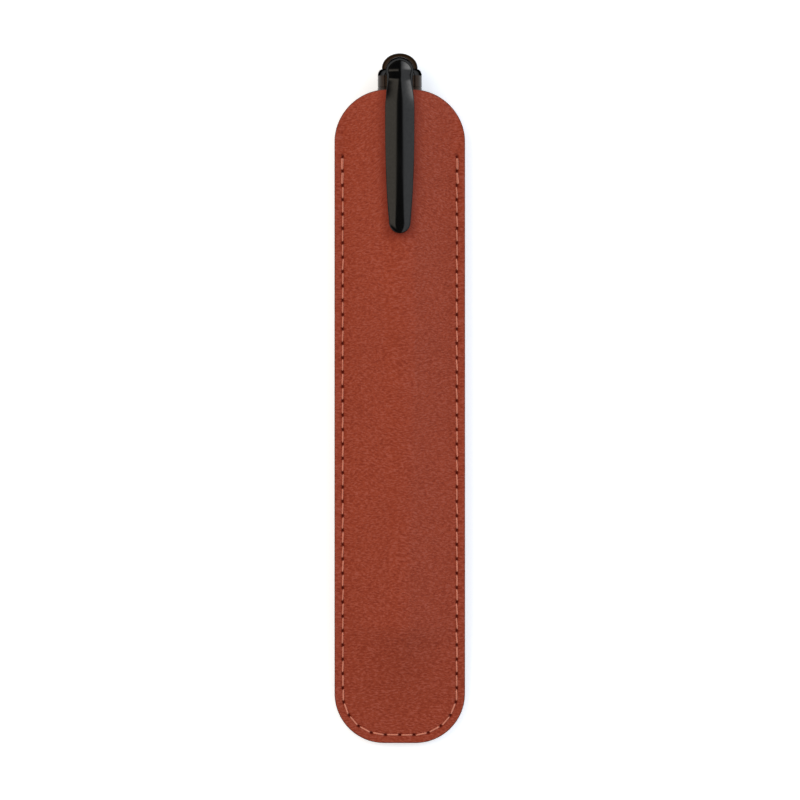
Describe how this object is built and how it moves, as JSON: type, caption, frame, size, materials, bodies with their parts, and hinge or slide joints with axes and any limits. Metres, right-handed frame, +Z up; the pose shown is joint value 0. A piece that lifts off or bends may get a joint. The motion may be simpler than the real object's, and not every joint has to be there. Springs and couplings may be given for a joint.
{
  "type": "single pen sleeve",
  "caption": "Slim stitched leather sleeve moulded round one capped pen, whose clip grips the front panel; the pen slides out and its cap pulls off.",
  "frame": {"origin": "middle of the flat strip of the back panel that rests on the desk, halfway along the sleeve", "axes": "+X to the right across the sleeve, +Y along it towards the mouth and the pen's finial, +Z up out of the front"},
  "size_m": [0.03, 0.1585, 0.0164],
  "materials": {
    "leather": "fine-grained cognac brown leather with a dark burnished edge",
    "lining": "brown suede lining",
    "thread": "salmon waxed polyester thread",
    "pen_lacquer": "gloss black lacquer",
    "clip_lacquer": "polished black",
    "trim_metal": "polished trim rings",
    "grip_plastic": "polished black resin",
    "feed_plastic": "matt black feed",
    "nib_steel": "fine brushed steel"
  },
  "bodies": {
    "sleeve": {"front_panel": "leather", "front_lining": "lining", "back_lining": "lining", "back_panel": "leather", "needle_thread": "thread", "bobbin_thread": "thread"},
    "pen": {"barrel": "pen_lacquer", "barrel_ring": "trim_metal", "grip_section": "grip_plastic", "feed": "feed_plastic", "nib": "nib_steel"},
    "cap": {"cap_tube": "pen_lacquer", "cap_band": "trim_metal", "clip": "clip_lacquer", "cap_finial": "pen_lacquer"}
  },
  "joints": [
    {"name": "pen_draw", "type": "slide", "parent": "sleeve", "child": "pen", "axis": [0, 1, 0], "range_m": [0, 0.135]},
    {"name": "cap_pull", "type": "slide", "parent": "pen", "child": "cap", "axis": [0, 1, 0], "range_m": [0, 0.05]}
  ]
}
